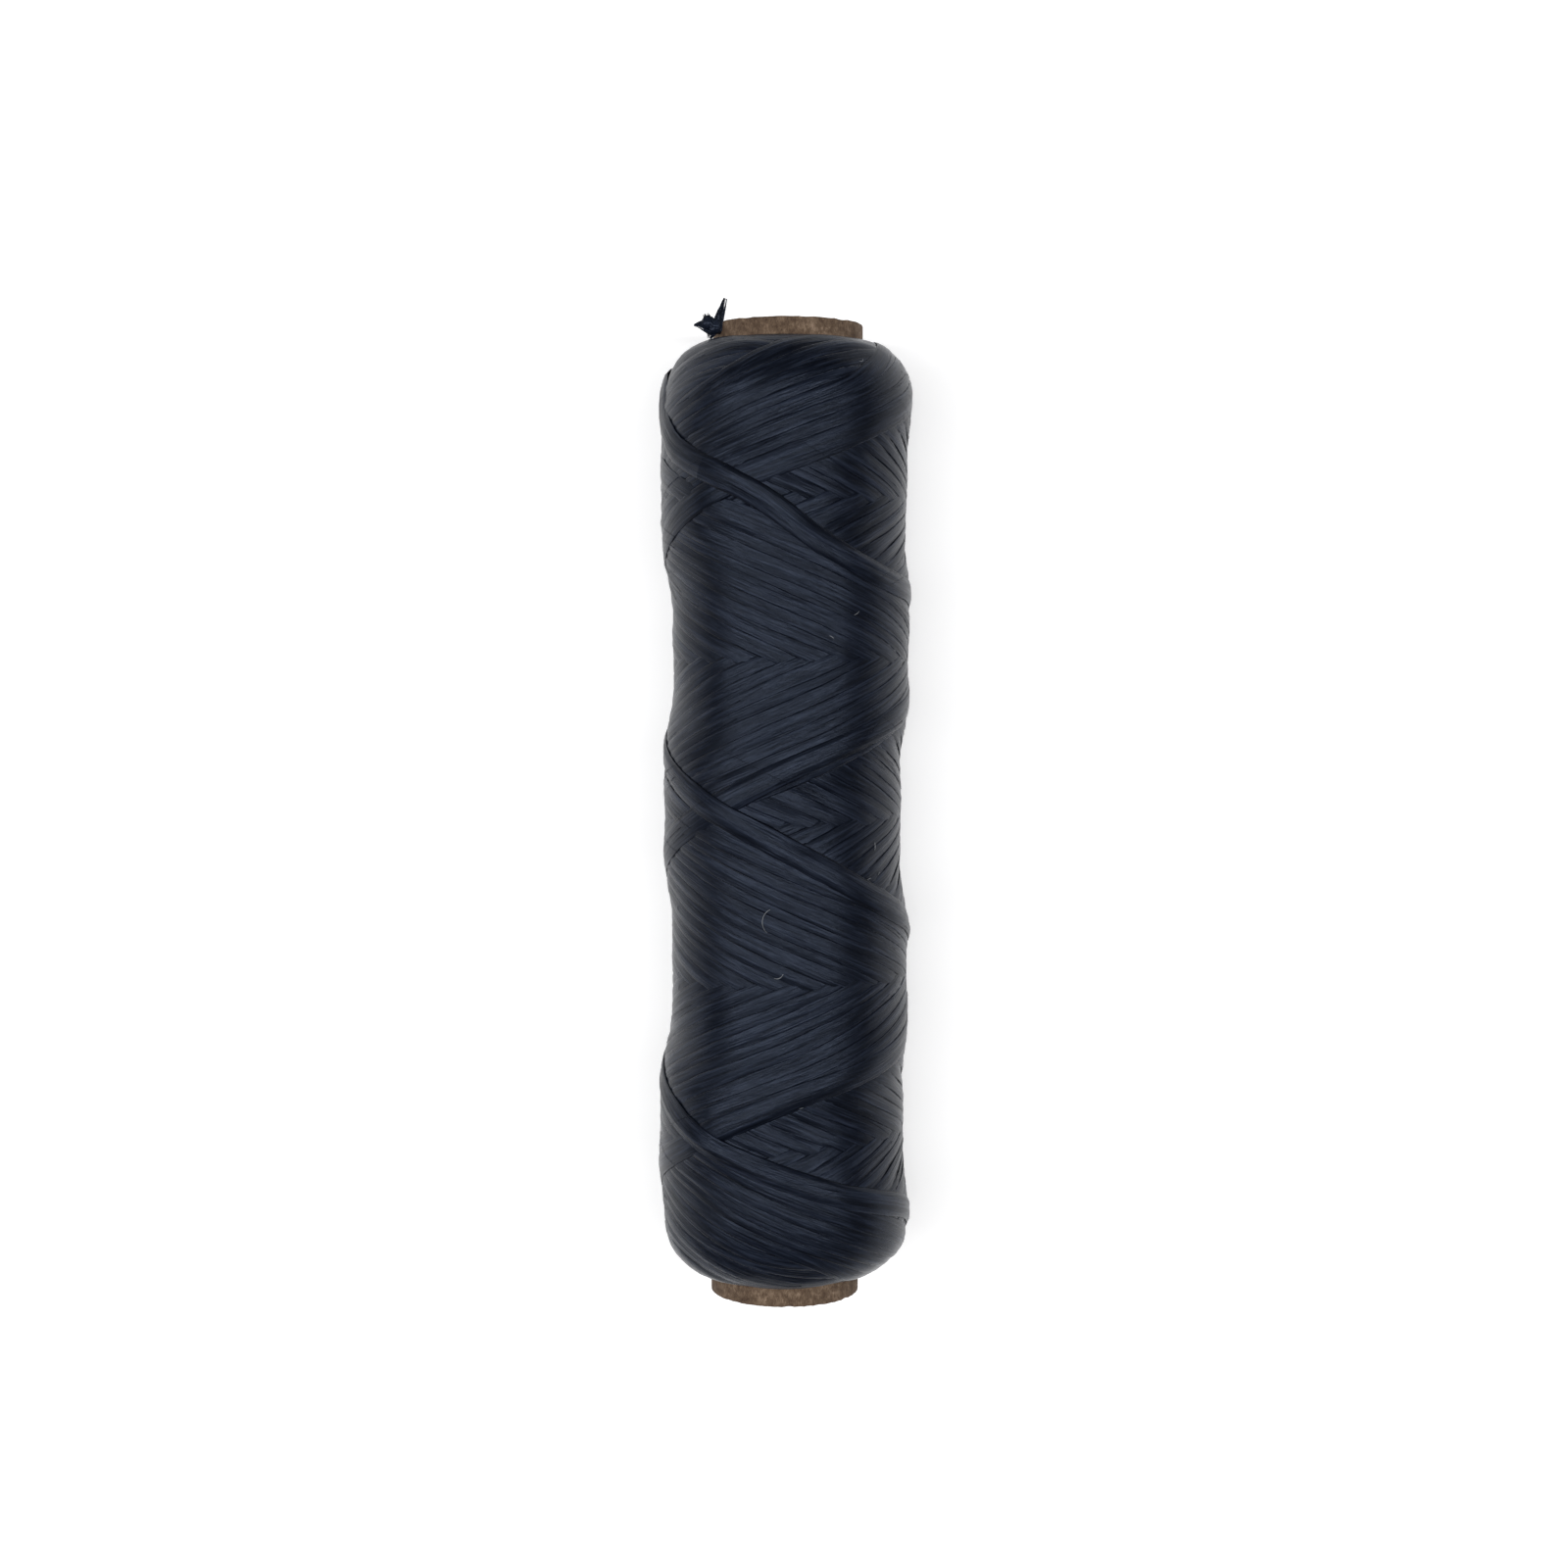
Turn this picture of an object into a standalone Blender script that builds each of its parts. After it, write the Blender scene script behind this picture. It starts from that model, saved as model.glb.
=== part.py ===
"""A spool of waxed thread: a spiral-wound paper core and the cross-wound thread on it.

The spool lies on its side, with its core along Y and the ground at z = 0. Lengths are in metres.
Wrap angles start on the -X side of the spool, pass over its top and come down its +X side.
The real thread is one flat ribbon. It is modelled as the stretches that it is wound in.
"""

import math

import bmesh
import bpy

MM = 0.001

# Core: paper plies glued round a half-inch mandrel and cut to four inches.
CORE_LENGTH = 101.6 * MM
BORE_RADIUS = 6.35 * MM
PLY_THICKNESS = 0.46 * MM
PLY_GAP = 0.03 * MM
PLY_NAMES = ("core_inner_ply", "core_middle_ply", "core_outer_ply")
CORE_RADIUS = BORE_RADIUS + len(PLY_NAMES) * (PLY_THICKNESS + PLY_GAP) - PLY_GAP
CORE_FACETS = 48

# Ribbon: the thread's flat section, and the gap it keeps to what it lies on.
RIBBON_WIDTH = 2.5 * MM
RIBBON_THICKNESS = 0.3 * MM
RIBBON_CELLS = 4
THREAD_GAP = 0.06 * MM
LYING_GAP = 0.08 * MM

# Package: nested layers of thread. Every layer has the same facets, so that they nest evenly.
PACKAGE_SHIFT = -0.4 * MM
PACKAGE_FACETS = 32
PACKAGE_STEP = math.tau / PACKAGE_FACETS
LAYERS = 6
LAYER_GAP = 0.06 * MM
PACKAGE_HALF_LENGTH = 49.7 * MM
PACKAGE_END_RADIUS = 12.8 * MM
PACKAGE_WAIST_RADIUS = 12.3 * MM
WAIST_HALF_LENGTH = 22.0 * MM
WAIST_SHARE = 0.2
LAYER_END_STEP = 0.45 * MM
SHOULDER_LENGTH = 9.0 * MM
INNER_SHOULDER_CELLS = 3
OUTER_SHOULDER_CELLS = 6
SEAT_RADIUS = CORE_RADIUS / math.cos(PACKAGE_STEP / 2) + THREAD_GAP
AXIS_HEIGHT = PACKAGE_END_RADIUS * math.cos(PACKAGE_STEP / 2)

# Anchor wraps: the turns that lock the start of the thread on the bare core.
ANCHOR_TURNS = 2.5
ANCHOR_PITCH = 2.62 * MM
ANCHOR_START = 37.5 * MM
RECESS_MARGIN = 0.35 * MM

# Last double stroke: the ribbon's path crosses itself twice a turn, first high on the -X side.
LEAD = 33.0 * MM
RISE = LEAD / math.tau
CROSSING_ANGLE = math.radians(57.5)
CROSSING_Y = 33.4 * MM
CROSSINGS = 5
STROKE_TURNS = 3
TURN_HALF_ANGLE = math.radians(60.0)
STRETCH_GAP_ANGLE = math.radians(1.5)

# Slack loop: the ribbon stands off the shoulder where the last stroke ends.
LOOP_START = math.radians(-25.0)
LOOP_END = math.radians(25.0)
LOOP_RADIUS = 13.1 * MM
LOOP_CLIMB = 4.5 * MM

# Tail: the trimmed knot of the ribbon's end, on the core beside the package.
TAIL_ANGLE = math.radians(25.0)
TAIL_Y = 50.3 * MM
TAIL_HALF_WIDTH = 0.85 * MM
TAIL_HALF_HEIGHT = 0.7 * MM
TAIL_HALF_LENGTH = 0.9 * MM
TAIL_TIP = 0.35

PAPER = (0.28, 0.19, 0.12)
THREAD = (0.015, 0.018, 0.027)
PLY_SHADES = (0.9, 1.0, 1.1)
LAYER_SHADE = 1.0
STRETCH_SHADE = 1.2


def clear_scene():
    for item in list(bpy.data.objects):
        bpy.data.objects.remove(item, do_unlink=True)


def make_collection(name):
    collection = bpy.data.collections.new(name)
    bpy.context.scene.collection.children.link(collection)
    return collection


def make_material(name, colour, roughness):
    material = bpy.data.materials.new(name)
    material.use_nodes = True
    shader = material.node_tree.nodes["Principled BSDF"]
    shader.inputs["Base Color"].default_value = (*colour, 1.0)
    shader.inputs["Roughness"].default_value = roughness
    shader.inputs["Metallic"].default_value = 0.0
    return material


def paper_material(node, shade):
    return make_material(node + "_paper", [channel * shade for channel in PAPER], 0.85)


def thread_material(node, shade):
    return make_material(node + "_wax", [channel * shade for channel in THREAD], 0.5)


def add_part(name, mesh, material):
    """Puts a mesh on the spool's axis as a named part."""
    part = bpy.data.objects.new(name, mesh)
    mesh.materials.append(material)
    part.parent = axis
    spool.objects.link(part)
    return part


def turn_profile(name, points, facets, material):
    """Turns a closed outline of (y, radius) points round the core's axis."""
    outline = bmesh.new()
    corners = [outline.verts.new((radius, y, 0.0)) for y, radius in points]
    for corner, following in zip(corners, corners[1:] + corners[:1]):
        outline.edges.new((corner, following))
    mesh = bpy.data.meshes.new(name)
    outline.to_mesh(mesh)
    outline.free()
    part = add_part(name, mesh, material)
    part.rotation_euler.y = math.pi / facets
    screw = part.modifiers.new("Turn", "SCREW")
    screw.axis = "Y"
    screw.steps = facets
    screw.render_steps = facets
    screw.use_merge_vertices = True
    screw.merge_threshold = 0.01 * MM
    screw.use_smooth_shade = True
    return part


def make_ply(index, name):
    inner = BORE_RADIUS + index * (PLY_THICKNESS + PLY_GAP)
    outer = inner + PLY_THICKNESS
    end = CORE_LENGTH / 2
    outline = [(end, outer), (-end, outer), (-end, inner), (end, inner)]
    turn_profile(name, outline, CORE_FACETS, paper_material(name, PLY_SHADES[index]))


def shoulder(half_length, radius, length, cells):
    """The rounded end of a layer, from the core out to the layer's full radius."""
    angles = [math.pi / 2 * cell / cells for cell in range(cells + 1)]
    return [
        (half_length - length * (1 - math.cos(angle)),
         SEAT_RADIUS + (radius - SEAT_RADIUS) * math.sin(angle))
        for angle in angles
    ]


def layer_shoulder(layer, gap, cells):
    """The shoulder of a layer, moved out by a gap."""
    share = layer / LAYERS
    half_length = PACKAGE_HALF_LENGTH - (LAYERS - layer) * LAYER_END_STEP
    radius = SEAT_RADIUS + share * (PACKAGE_END_RADIUS - SEAT_RADIUS)
    return shoulder(half_length + gap, radius + gap, share * SHOULDER_LENGTH, cells)


def both_ends(points):
    """Mirrors one end's points, so that the outline runs from the +Y end to the -Y end."""
    return points + [(-y, radius) for y, radius in reversed(points)]


def package_surface():
    """The last layer's outer outline, with the slight waist that cross-winding leaves."""
    swell = WAIST_SHARE * (PACKAGE_END_RADIUS - PACKAGE_WAIST_RADIUS)
    half = layer_shoulder(LAYERS, 0.0, OUTER_SHOULDER_CELLS)
    half.append((WAIST_HALF_LENGTH, PACKAGE_WAIST_RADIUS + swell))
    middle = [(0.0, PACKAGE_WAIST_RADIUS)]
    return half + middle + [(-y, radius) for y, radius in reversed(half)]


def anchor_recess():
    """The space in the first layer for the anchor wraps, from its -Y side to its +Y side."""
    low = ANCHOR_START - RIBBON_WIDTH / 2 - RECESS_MARGIN
    high = ANCHOR_START + ANCHOR_TURNS * ANCHOR_PITCH + RIBBON_WIDTH / 2 + RECESS_MARGIN
    depth = SEAT_RADIUS + RIBBON_THICKNESS + 2 * THREAD_GAP
    return [(low, SEAT_RADIUS), (low, depth), (high, depth), (high, SEAT_RADIUS)]


def make_layer(layer):
    name = f"thread_layer_{layer}"
    if layer == LAYERS:
        outer = package_surface()
    else:
        outer = both_ends(layer_shoulder(layer, 0.0, INNER_SHOULDER_CELLS))
    if layer == 1:
        inner = anchor_recess()
    else:
        below = both_ends(layer_shoulder(layer - 1, LAYER_GAP, INNER_SHOULDER_CELLS))
        inner = list(reversed(below))
    part = turn_profile(name, outer + inner, PACKAGE_FACETS, thread_material(name, LAYER_SHADE))
    part.location.y = PACKAGE_SHIFT


def surface_radius(y):
    """The package's radius at a place along it."""
    outline = package_surface()
    for (high, high_radius), (low, low_radius) in zip(outline, outline[1:]):
        if low <= y <= high:
            share = (y - low) / (high - low)
            return low_radius + share * (high_radius - low_radius)
    return SEAT_RADIUS


def facet_factor(angle):
    """How far a facet's face is from the axis at an angle, as a share of its corners' radius."""
    within = (angle - PACKAGE_STEP / 2) % PACKAGE_STEP
    return math.cos(PACKAGE_STEP / 2) / math.cos(within - PACKAGE_STEP / 2)


def stations(start, end):
    """The wrap angles from start to end at which the facets under a ribbon change."""
    first = math.floor((start - PACKAGE_STEP / 2) / PACKAGE_STEP) + 1
    last = math.ceil((end - PACKAGE_STEP / 2) / PACKAGE_STEP)
    corners = [PACKAGE_STEP / 2 + index * PACKAGE_STEP for index in range(first, last)]
    return [start] + [angle for angle in corners if start < angle < end] + [end]


def make_ribbon(name, start, end, centre_at, radius_at, width):
    """Wraps a grid round the axis from start to end and gives it the ribbon's thickness.

    centre_at gives the centre line's y at an angle. radius_at gives the radius at an angle and a y.
    """
    angles = stations(start, end)
    rows = len(angles) - 1
    grid = bmesh.new()
    bmesh.ops.create_grid(grid, x_segments=rows, y_segments=RIBBON_CELLS, size=1.0)
    for corner in grid.verts:
        angle = angles[round((corner.co.x + 1) / 2 * rows)]
        y = centre_at(angle) + corner.co.y * width / 2
        radius = radius_at(angle, y) * facet_factor(angle)
        corner.co = (-radius * math.cos(angle), y, radius * math.sin(angle))
    mesh = bpy.data.meshes.new(name)
    grid.to_mesh(mesh)
    grid.free()
    mesh.shade_smooth()
    part = add_part(name, mesh, thread_material(name, STRETCH_SHADE))
    solidify = part.modifiers.new("Thickness", "SOLIDIFY")
    solidify.thickness = RIBBON_THICKNESS
    solidify.offset = 1.0
    solidify.use_even_offset = True
    part.location.y = PACKAGE_SHIFT
    return part


def make_anchor_wraps():
    def centre_at(angle):
        return ANCHOR_START + ANCHOR_PITCH * angle / math.tau

    def radius_at(angle, y):
        return SEAT_RADIUS

    make_ribbon("thread_anchor_wraps", 0.0, ANCHOR_TURNS * math.tau, centre_at, radius_at,
                RIBBON_WIDTH)


def stroke_width():
    """The ribbon's width measured along the core, which its slant makes larger."""
    slant = math.atan2(RISE, PACKAGE_WAIST_RADIUS)
    return RIBBON_WIDTH / math.cos(slant)


def rounded_stroke(distance):
    """How far a stroke is from its end, along the core, at an angle from the turn's middle."""
    if distance < TURN_HALF_ANGLE:
        return RISE * (TURN_HALF_ANGLE / 2 + distance ** 2 / (2 * TURN_HALF_ANGLE))
    return RISE * distance


def low_turn_angle():
    return CROSSING_ANGLE + CROSSINGS * math.pi


def low_turn_y():
    """Where the two strokes' straight lines would meet at the -Y end."""
    return CROSSING_Y - CROSSINGS * LEAD / 2


def lying_radius(angle, y):
    return surface_radius(y) + LYING_GAP


def make_last_down_stroke():
    """The stroke from the +Y end to the -Y end. It lies straight on the last layer."""
    start = low_turn_angle()
    end = start + STROKE_TURNS * math.tau

    def centre_at(angle):
        if angle - start < end - angle:
            return low_turn_y() + rounded_stroke(angle - start)
        return low_turn_y() + STROKE_TURNS * LEAD - rounded_stroke(end - angle)

    make_ribbon("thread_last_down_stroke", start + STRETCH_GAP_ANGLE, end, centre_at,
                lying_radius, stroke_width())


def crossing_lift(angle):
    """How far the up stroke is lifted where it crosses the down stroke."""
    clear_angle = stroke_width() / 2 / RISE + PACKAGE_STEP
    nearest = round((angle - CROSSING_ANGLE) / math.pi)
    if not 0 <= nearest < CROSSINGS:
        return 0.0
    if abs(angle - CROSSING_ANGLE - nearest * math.pi) > clear_angle:
        return 0.0
    return RIBBON_THICKNESS / math.cos(PACKAGE_STEP / 2) + THREAD_GAP


def up_stroke_centre(angle):
    return low_turn_y() + rounded_stroke(low_turn_angle() - angle)


def make_last_up_stroke():
    """The stroke from the -Y end up to the slack loop. It lies over the down stroke."""
    def radius_at(angle, y):
        return lying_radius(angle, y) + crossing_lift(angle)

    make_ribbon("thread_last_up_stroke", LOOP_END + STRETCH_GAP_ANGLE, low_turn_angle(),
                up_stroke_centre, radius_at, stroke_width())


def make_slack_loop():
    """The end of the up stroke, which stands off the shoulder on the -X side."""
    span = LOOP_END - LOOP_START

    def centre_at(angle):
        return up_stroke_centre(angle) + LOOP_CLIMB * ((LOOP_END - angle) / span) ** 2

    def radius_at(angle, y):
        lying = lying_radius(angle, y)
        return lying + (LOOP_RADIUS - lying) * math.sin(math.pi * (angle - LOOP_START) / span)

    make_ribbon("thread_slack_loop", LOOP_START, LOOP_END, centre_at, radius_at,
                stroke_width())


def make_tail():
    """The knotted end: a lump that lies on the core and draws out to a blunt tip."""
    lump = bmesh.new()
    bmesh.ops.create_icosphere(lump, subdivisions=2, radius=1.0)
    for corner in lump.verts:
        taper = 1.0 - TAIL_TIP * max(corner.co.y, 0.0)
        corner.co.x *= TAIL_HALF_WIDTH * taper
        corner.co.z *= TAIL_HALF_HEIGHT * taper
        corner.co.y *= TAIL_HALF_LENGTH * (1.0 + TAIL_TIP * max(corner.co.y, 0.0))
    mesh = bpy.data.meshes.new("thread_tail")
    lump.to_mesh(mesh)
    lump.free()
    mesh.shade_smooth()
    part = add_part("thread_tail", mesh, thread_material("thread_tail", LAYER_SHADE))
    radius = CORE_RADIUS + THREAD_GAP + TAIL_HALF_HEIGHT
    part.location = (-radius * math.cos(TAIL_ANGLE), TAIL_Y, radius * math.sin(TAIL_ANGLE))
    part.rotation_euler.y = TAIL_ANGLE - math.pi / 2


clear_scene()
spool = make_collection("waxed_thread_spool")
axis = bpy.data.objects.new("spool_axis", None)
axis.location.z = AXIS_HEIGHT
spool.objects.link(axis)

for ply_index, ply_name in enumerate(PLY_NAMES):
    make_ply(ply_index, ply_name)
make_anchor_wraps()
for layer_number in range(1, LAYERS + 1):
    make_layer(layer_number)
make_last_down_stroke()
make_last_up_stroke()
make_slack_loop()
make_tail()
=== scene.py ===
"""The looks of the waxed thread spool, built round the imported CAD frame.

The thread is laid again here as it was wound: one flat ribbon goes up and down the spool, turn over
turn, and every stretch lies on what was laid before it. Lengths inside this script are in millimetres
and are turned into metres when a mesh is made. Wrap angles start on the -X side of the spool, pass
over its top and come down its +X side. Path angles count back in time from the last turns laid.
"""

import math

import bpy
import numpy as np
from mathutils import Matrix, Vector


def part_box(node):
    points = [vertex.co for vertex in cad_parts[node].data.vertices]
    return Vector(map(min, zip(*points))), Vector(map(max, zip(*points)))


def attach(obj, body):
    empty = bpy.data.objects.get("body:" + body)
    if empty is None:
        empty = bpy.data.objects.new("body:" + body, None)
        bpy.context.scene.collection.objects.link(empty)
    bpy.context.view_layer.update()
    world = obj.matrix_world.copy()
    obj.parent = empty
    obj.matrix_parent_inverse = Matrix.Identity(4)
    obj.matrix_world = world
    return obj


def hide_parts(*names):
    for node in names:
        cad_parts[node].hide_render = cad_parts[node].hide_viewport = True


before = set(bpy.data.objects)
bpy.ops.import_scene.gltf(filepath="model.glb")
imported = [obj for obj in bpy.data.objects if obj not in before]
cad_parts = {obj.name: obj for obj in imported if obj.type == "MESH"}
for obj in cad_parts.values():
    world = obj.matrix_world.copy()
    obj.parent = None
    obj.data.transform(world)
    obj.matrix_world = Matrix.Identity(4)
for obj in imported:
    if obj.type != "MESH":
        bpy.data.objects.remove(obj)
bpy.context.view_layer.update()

MM = 0.001
TAU = math.tau
PI = math.pi
SEED = 7
rng = np.random.default_rng(SEED)

# The CAD layer runs a little past the real ends of the winding.
PLAIN_END_INSET = 1.5
TAIL_END_INSET = 0.3

# Places and sizes that the frame gives.
core_low, core_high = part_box("core_outer_ply")
wound_low, wound_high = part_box("thread_layer_6")
tail_low, tail_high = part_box("thread_tail")
AXIS_X = (wound_low.x + wound_high.x) / 2 / MM
AXIS_Z = (wound_low.z + wound_high.z) / 2 / MM
WOUND_START = wound_low.y / MM + PLAIN_END_INSET
WOUND_END = wound_high.y / MM - TAIL_END_INSET
MIDDLE_Y = (WOUND_START + WOUND_END) / 2
HALF_LENGTH = (WOUND_END - WOUND_START) / 2
CORE_HALF = (core_high.y - core_low.y) / 2 / MM
CORE_FACETS = 48
CORE_RADIUS = (core_high.z - core_low.z) / 2 / MM / math.cos(PI / CORE_FACETS)
PLY_THICKNESS = 0.46
PLY_GAP = 0.03

# Mean outline of the wound thread, round which the ribbons lie.
WAIST_RADIUS = 12.42
END_RADIUS = 13.0
SWELL_START = 14.0
SHOULDER_LENGTH = 7.4
SHOULDER_POWER = 2.3
END_SOFT = 0.3
ROOT_RADIUS = CORE_RADIUS + 0.12

# The winding: a ribbon that rises RISE for each radian and turns at both ends.
RIBBON_WIDTH = 2.6
RIBBON_THICKNESS = 0.095
LEAD = 33.0
NEWEST_BULK = 1.7
EDGE_TUCK = 0.92
RISE = LEAD / TAU
STEP_ALONG = 1.5
PERIOD = 6 * TAU - STEP_ALONG / RISE
REACH = RISE * PERIOD / 4
LOW_TURN = math.radians(57.5) + 5 * PI
STROKES = 24
SLANT = 1.08
GROWTH = 0.72
EDGE_SOFT = 0.25
TURN_ANGLE = math.radians(68.0)
TURN_SPREAD = math.radians(14.0)
TURN_REACH = (44.0, 50.4)
PATH_SHIFT = MIDDLE_Y + 0.4

# Simulation grid.
CELL = 0.3
ROUND_CELLS = 264
STATIONS_PER_HALF = 64
ACROSS = np.array([-1.0, -0.93, -0.78, -0.56, -0.29, 0.0, 0.29, 0.56, 0.78, 0.93, 1.0])
ROWS_PER_SEGMENT = 2

# The slack end of the last stroke: it leaves the shoulder, stands off it and is tucked back.
LOOP_FIRST = math.radians(52.0)
LOOP_LAST = math.radians(-150.0)
LOOP_PATH = ((-150.0, 48.6), (-100.0, 47.6), (-40.0, 46.8), (-15.0, 46.0), (-4.0, 45.0),
             (4.0, 43.2), (12.0, 41.3), (25.0, 39.2), (36.0, 37.2))
LOOP_RADII = ((-60.0, 12.4), (-25.0, 12.5), (-12.0, 12.95), (0.0, 13.1), (15.0, 13.25),
              (30.0, 13.42), (42.0, 13.4), (52.0, 13.25))
LOOP_LEAN = 0.5

FLOOR_Z = 0.0


# ---------------------------------------------------------------- outline

def smooth_step(value, low, high):
    share = np.clip((value - low) / (high - low), 0.0, 1.0)
    return share * share * (3 - 2 * share)


def outline_half():
    """(y, radius) from the middle of the spool to the end of the wound thread, closely spaced."""
    barrel_end = HALF_LENGTH - SHOULDER_LENGTH
    y = np.linspace(0.0, barrel_end, 600, endpoint=False)
    radius = WAIST_RADIUS + (END_RADIUS - WAIST_RADIUS) * smooth_step(y, SWELL_START, barrel_end)
    angle = np.linspace(0.0, PI / 2, 400)
    end_y = barrel_end + SHOULDER_LENGTH * np.sin(angle) ** (2 / SHOULDER_POWER)
    share = np.maximum(np.cos(angle), 0.0) ** (2 / SHOULDER_POWER)
    end_radius = ROOT_RADIUS + (END_RADIUS - ROOT_RADIUS) * share
    return np.concatenate([y, end_y]), np.concatenate([radius, end_radius])


class Outline:
    """The mean outline by arc length s, which is 0 in the middle and grows towards +Y."""

    def __init__(self):
        y, radius = outline_half()
        arc = np.concatenate([[0.0], np.cumsum(np.hypot(np.diff(y), np.diff(radius)))])
        self.s = np.concatenate([-arc[:0:-1], arc])
        self.y = np.concatenate([-y[:0:-1], y])
        self.radius = np.concatenate([radius[:0:-1], radius])
        along_y = np.gradient(self.y, self.s)
        along_r = np.gradient(self.radius, self.s)
        size = np.hypot(along_y, along_r)
        self.normal_y = -along_r / size
        self.normal_r = along_y / size
        self.end = arc[-1]

    def at(self, s):
        """y, radius and the two parts of the normal at s."""
        return tuple(np.interp(s, self.s, row)
                     for row in (self.y, self.radius, self.normal_y, self.normal_r))

    def radius_at(self, s):
        return np.interp(s, self.s, self.radius)


outline = Outline()


def place(s, angle, height):
    """Points in metres at arc length s, wrap angle and height over the mean outline."""
    y, radius, normal_y, normal_r = outline.at(s)
    reach = radius + height * normal_r
    far = y + height * normal_y
    over = np.maximum(np.abs(far) - HALF_LENGTH + END_SOFT, 0.0)
    far = np.sign(far) * (np.abs(far) - over + END_SOFT * np.tanh(over / END_SOFT))
    points = np.stack([
        AXIS_X - reach * np.cos(angle),
        MIDDLE_Y + far,
        AXIS_Z + reach * np.sin(angle),
    ], axis=-1)
    return settle(points) * MM


def settle(points):
    """Flattens the underside a little where the spool's weight rests on it."""
    soft = 0.12
    z = points[..., 2]
    points[..., 2] = np.where(z > 1.0, z, soft * np.logaddexp(0.0, z / soft))
    return points


# ---------------------------------------------------------------- path

def smooth_noise(values, wavelength, amplitude, generator):
    """A smooth random curve over values, repeatable for the same generator state."""
    first = values.min()
    knots = int((values.max() - first) / wavelength) + 6
    heights = generator.normal(0.0, amplitude, knots)
    position = (values - first) / wavelength + 1.5
    index = np.floor(position).astype(int)
    t = position - index
    a, b, c, d = (heights[np.clip(index + k, 0, knots - 1)] for k in (-1, 0, 1, 2))
    return (b + 0.5 * t * (c - a + t * (2 * a - 5 * b + 4 * c - d + t * (3 * (b - c) + d - a))))


class Turns:
    """Where and how sharply the ribbon turns at each end of each stroke."""

    def __init__(self, generator):
        count = 2 * STROKES + 4
        golden = (math.sqrt(5) - 1) / 2
        low, high = TURN_REACH
        spread = (np.arange(count) * golden + 0.37) % 1.0
        self.reach = low + (high - low) * spread ** 0.8
        self.width = TURN_ANGLE + TURN_SPREAD * generator.uniform(-1, 1, count)

    def half_stroke(self, psi):
        """Index of the nearest turn, and the angle to it. Even turns are at the -Y end."""
        index = np.rint((psi - LOW_TURN) / (PERIOD / 2)).astype(int)
        return index, np.abs(psi - LOW_TURN - index * PERIOD / 2)


def path_height(psi, turns):
    """Arc length s of the ribbon's middle at path angles psi."""
    index, away = turns.half_stroke(psi)
    side = np.where(index % 2 == 0, -1.0, 1.0)
    slot = index + 2
    width = turns.width[slot]
    straight = REACH - RISE * away
    t = np.clip(1.0 - away / width, 0.0, 1.0)
    start = REACH - RISE * width
    turned = ((2 * t ** 3 - 3 * t ** 2 + 1) * start + (t ** 3 - 2 * t ** 2 + t) * RISE * width
              + (3 * t ** 2 - 2 * t ** 3) * turns.reach[slot])
    return side * np.where(away < width, turned, straight)


# How far the last double stroke strays along the core, by path angle in half turns. The passes over
# the top sway by a millimetre or two, and the passes underneath run straighter.
UP_WANDER = (
    (0.0, 3.5), (0.2, 2.0), (0.4, 1.5), (0.6, -0.8), (0.8, -0.8), (1.0, 1.0),
    (2.1, 1.4), (2.5, 0.0), (2.75, -1.0), (3.0, -0.8),
    (4.1, 0.2), (4.3, -0.5), (4.6, 0.0), (5.0, 1.7), (5.3, 0.0),
)
DOWN_WANDER = (
    (5.3, 0.0), (6.1, 0.4), (6.5, 1.5), (6.9, -0.3), (8.0, 0.0),
    (8.6, 2.0), (9.0, 0.7), (10.0, -0.6), (10.3, 0.2), (10.6, 0.0),
)


def through(points, values):
    """A smooth curve through (place, value) points, for places in order."""
    x, y = (np.array(row) for row in zip(*points))
    slope = np.gradient(y, x)
    index = np.clip(np.searchsorted(x, values) - 1, 0, len(x) - 2)
    span = x[index + 1] - x[index]
    t = np.clip((values - x[index]) / span, 0.0, 1.0)
    return ((2 * t ** 3 - 3 * t ** 2 + 1) * y[index] + (t ** 3 - 2 * t ** 2 + t) * span * slope[index]
            + (3 * t ** 2 - 2 * t ** 3) * y[index + 1] + (t ** 3 - t ** 2) * span * slope[index + 1])


def last_wander(psi):
    return through(UP_WANDER + DOWN_WANDER[1:], psi / PI) - PATH_SHIFT


def wander(psi, generator):
    """How far the ribbon strays from its even path."""
    even = smooth_noise(psi, 4.1, 0.16, generator) + smooth_noise(psi, 1.3, 0.05, generator)
    stroke = smooth_noise(psi, PERIOD / 2, 0.12, generator)
    older = smooth_step(psi, 9.5 * PI, 11.5 * PI)
    return (even + stroke) * older + last_wander(psi)


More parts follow.
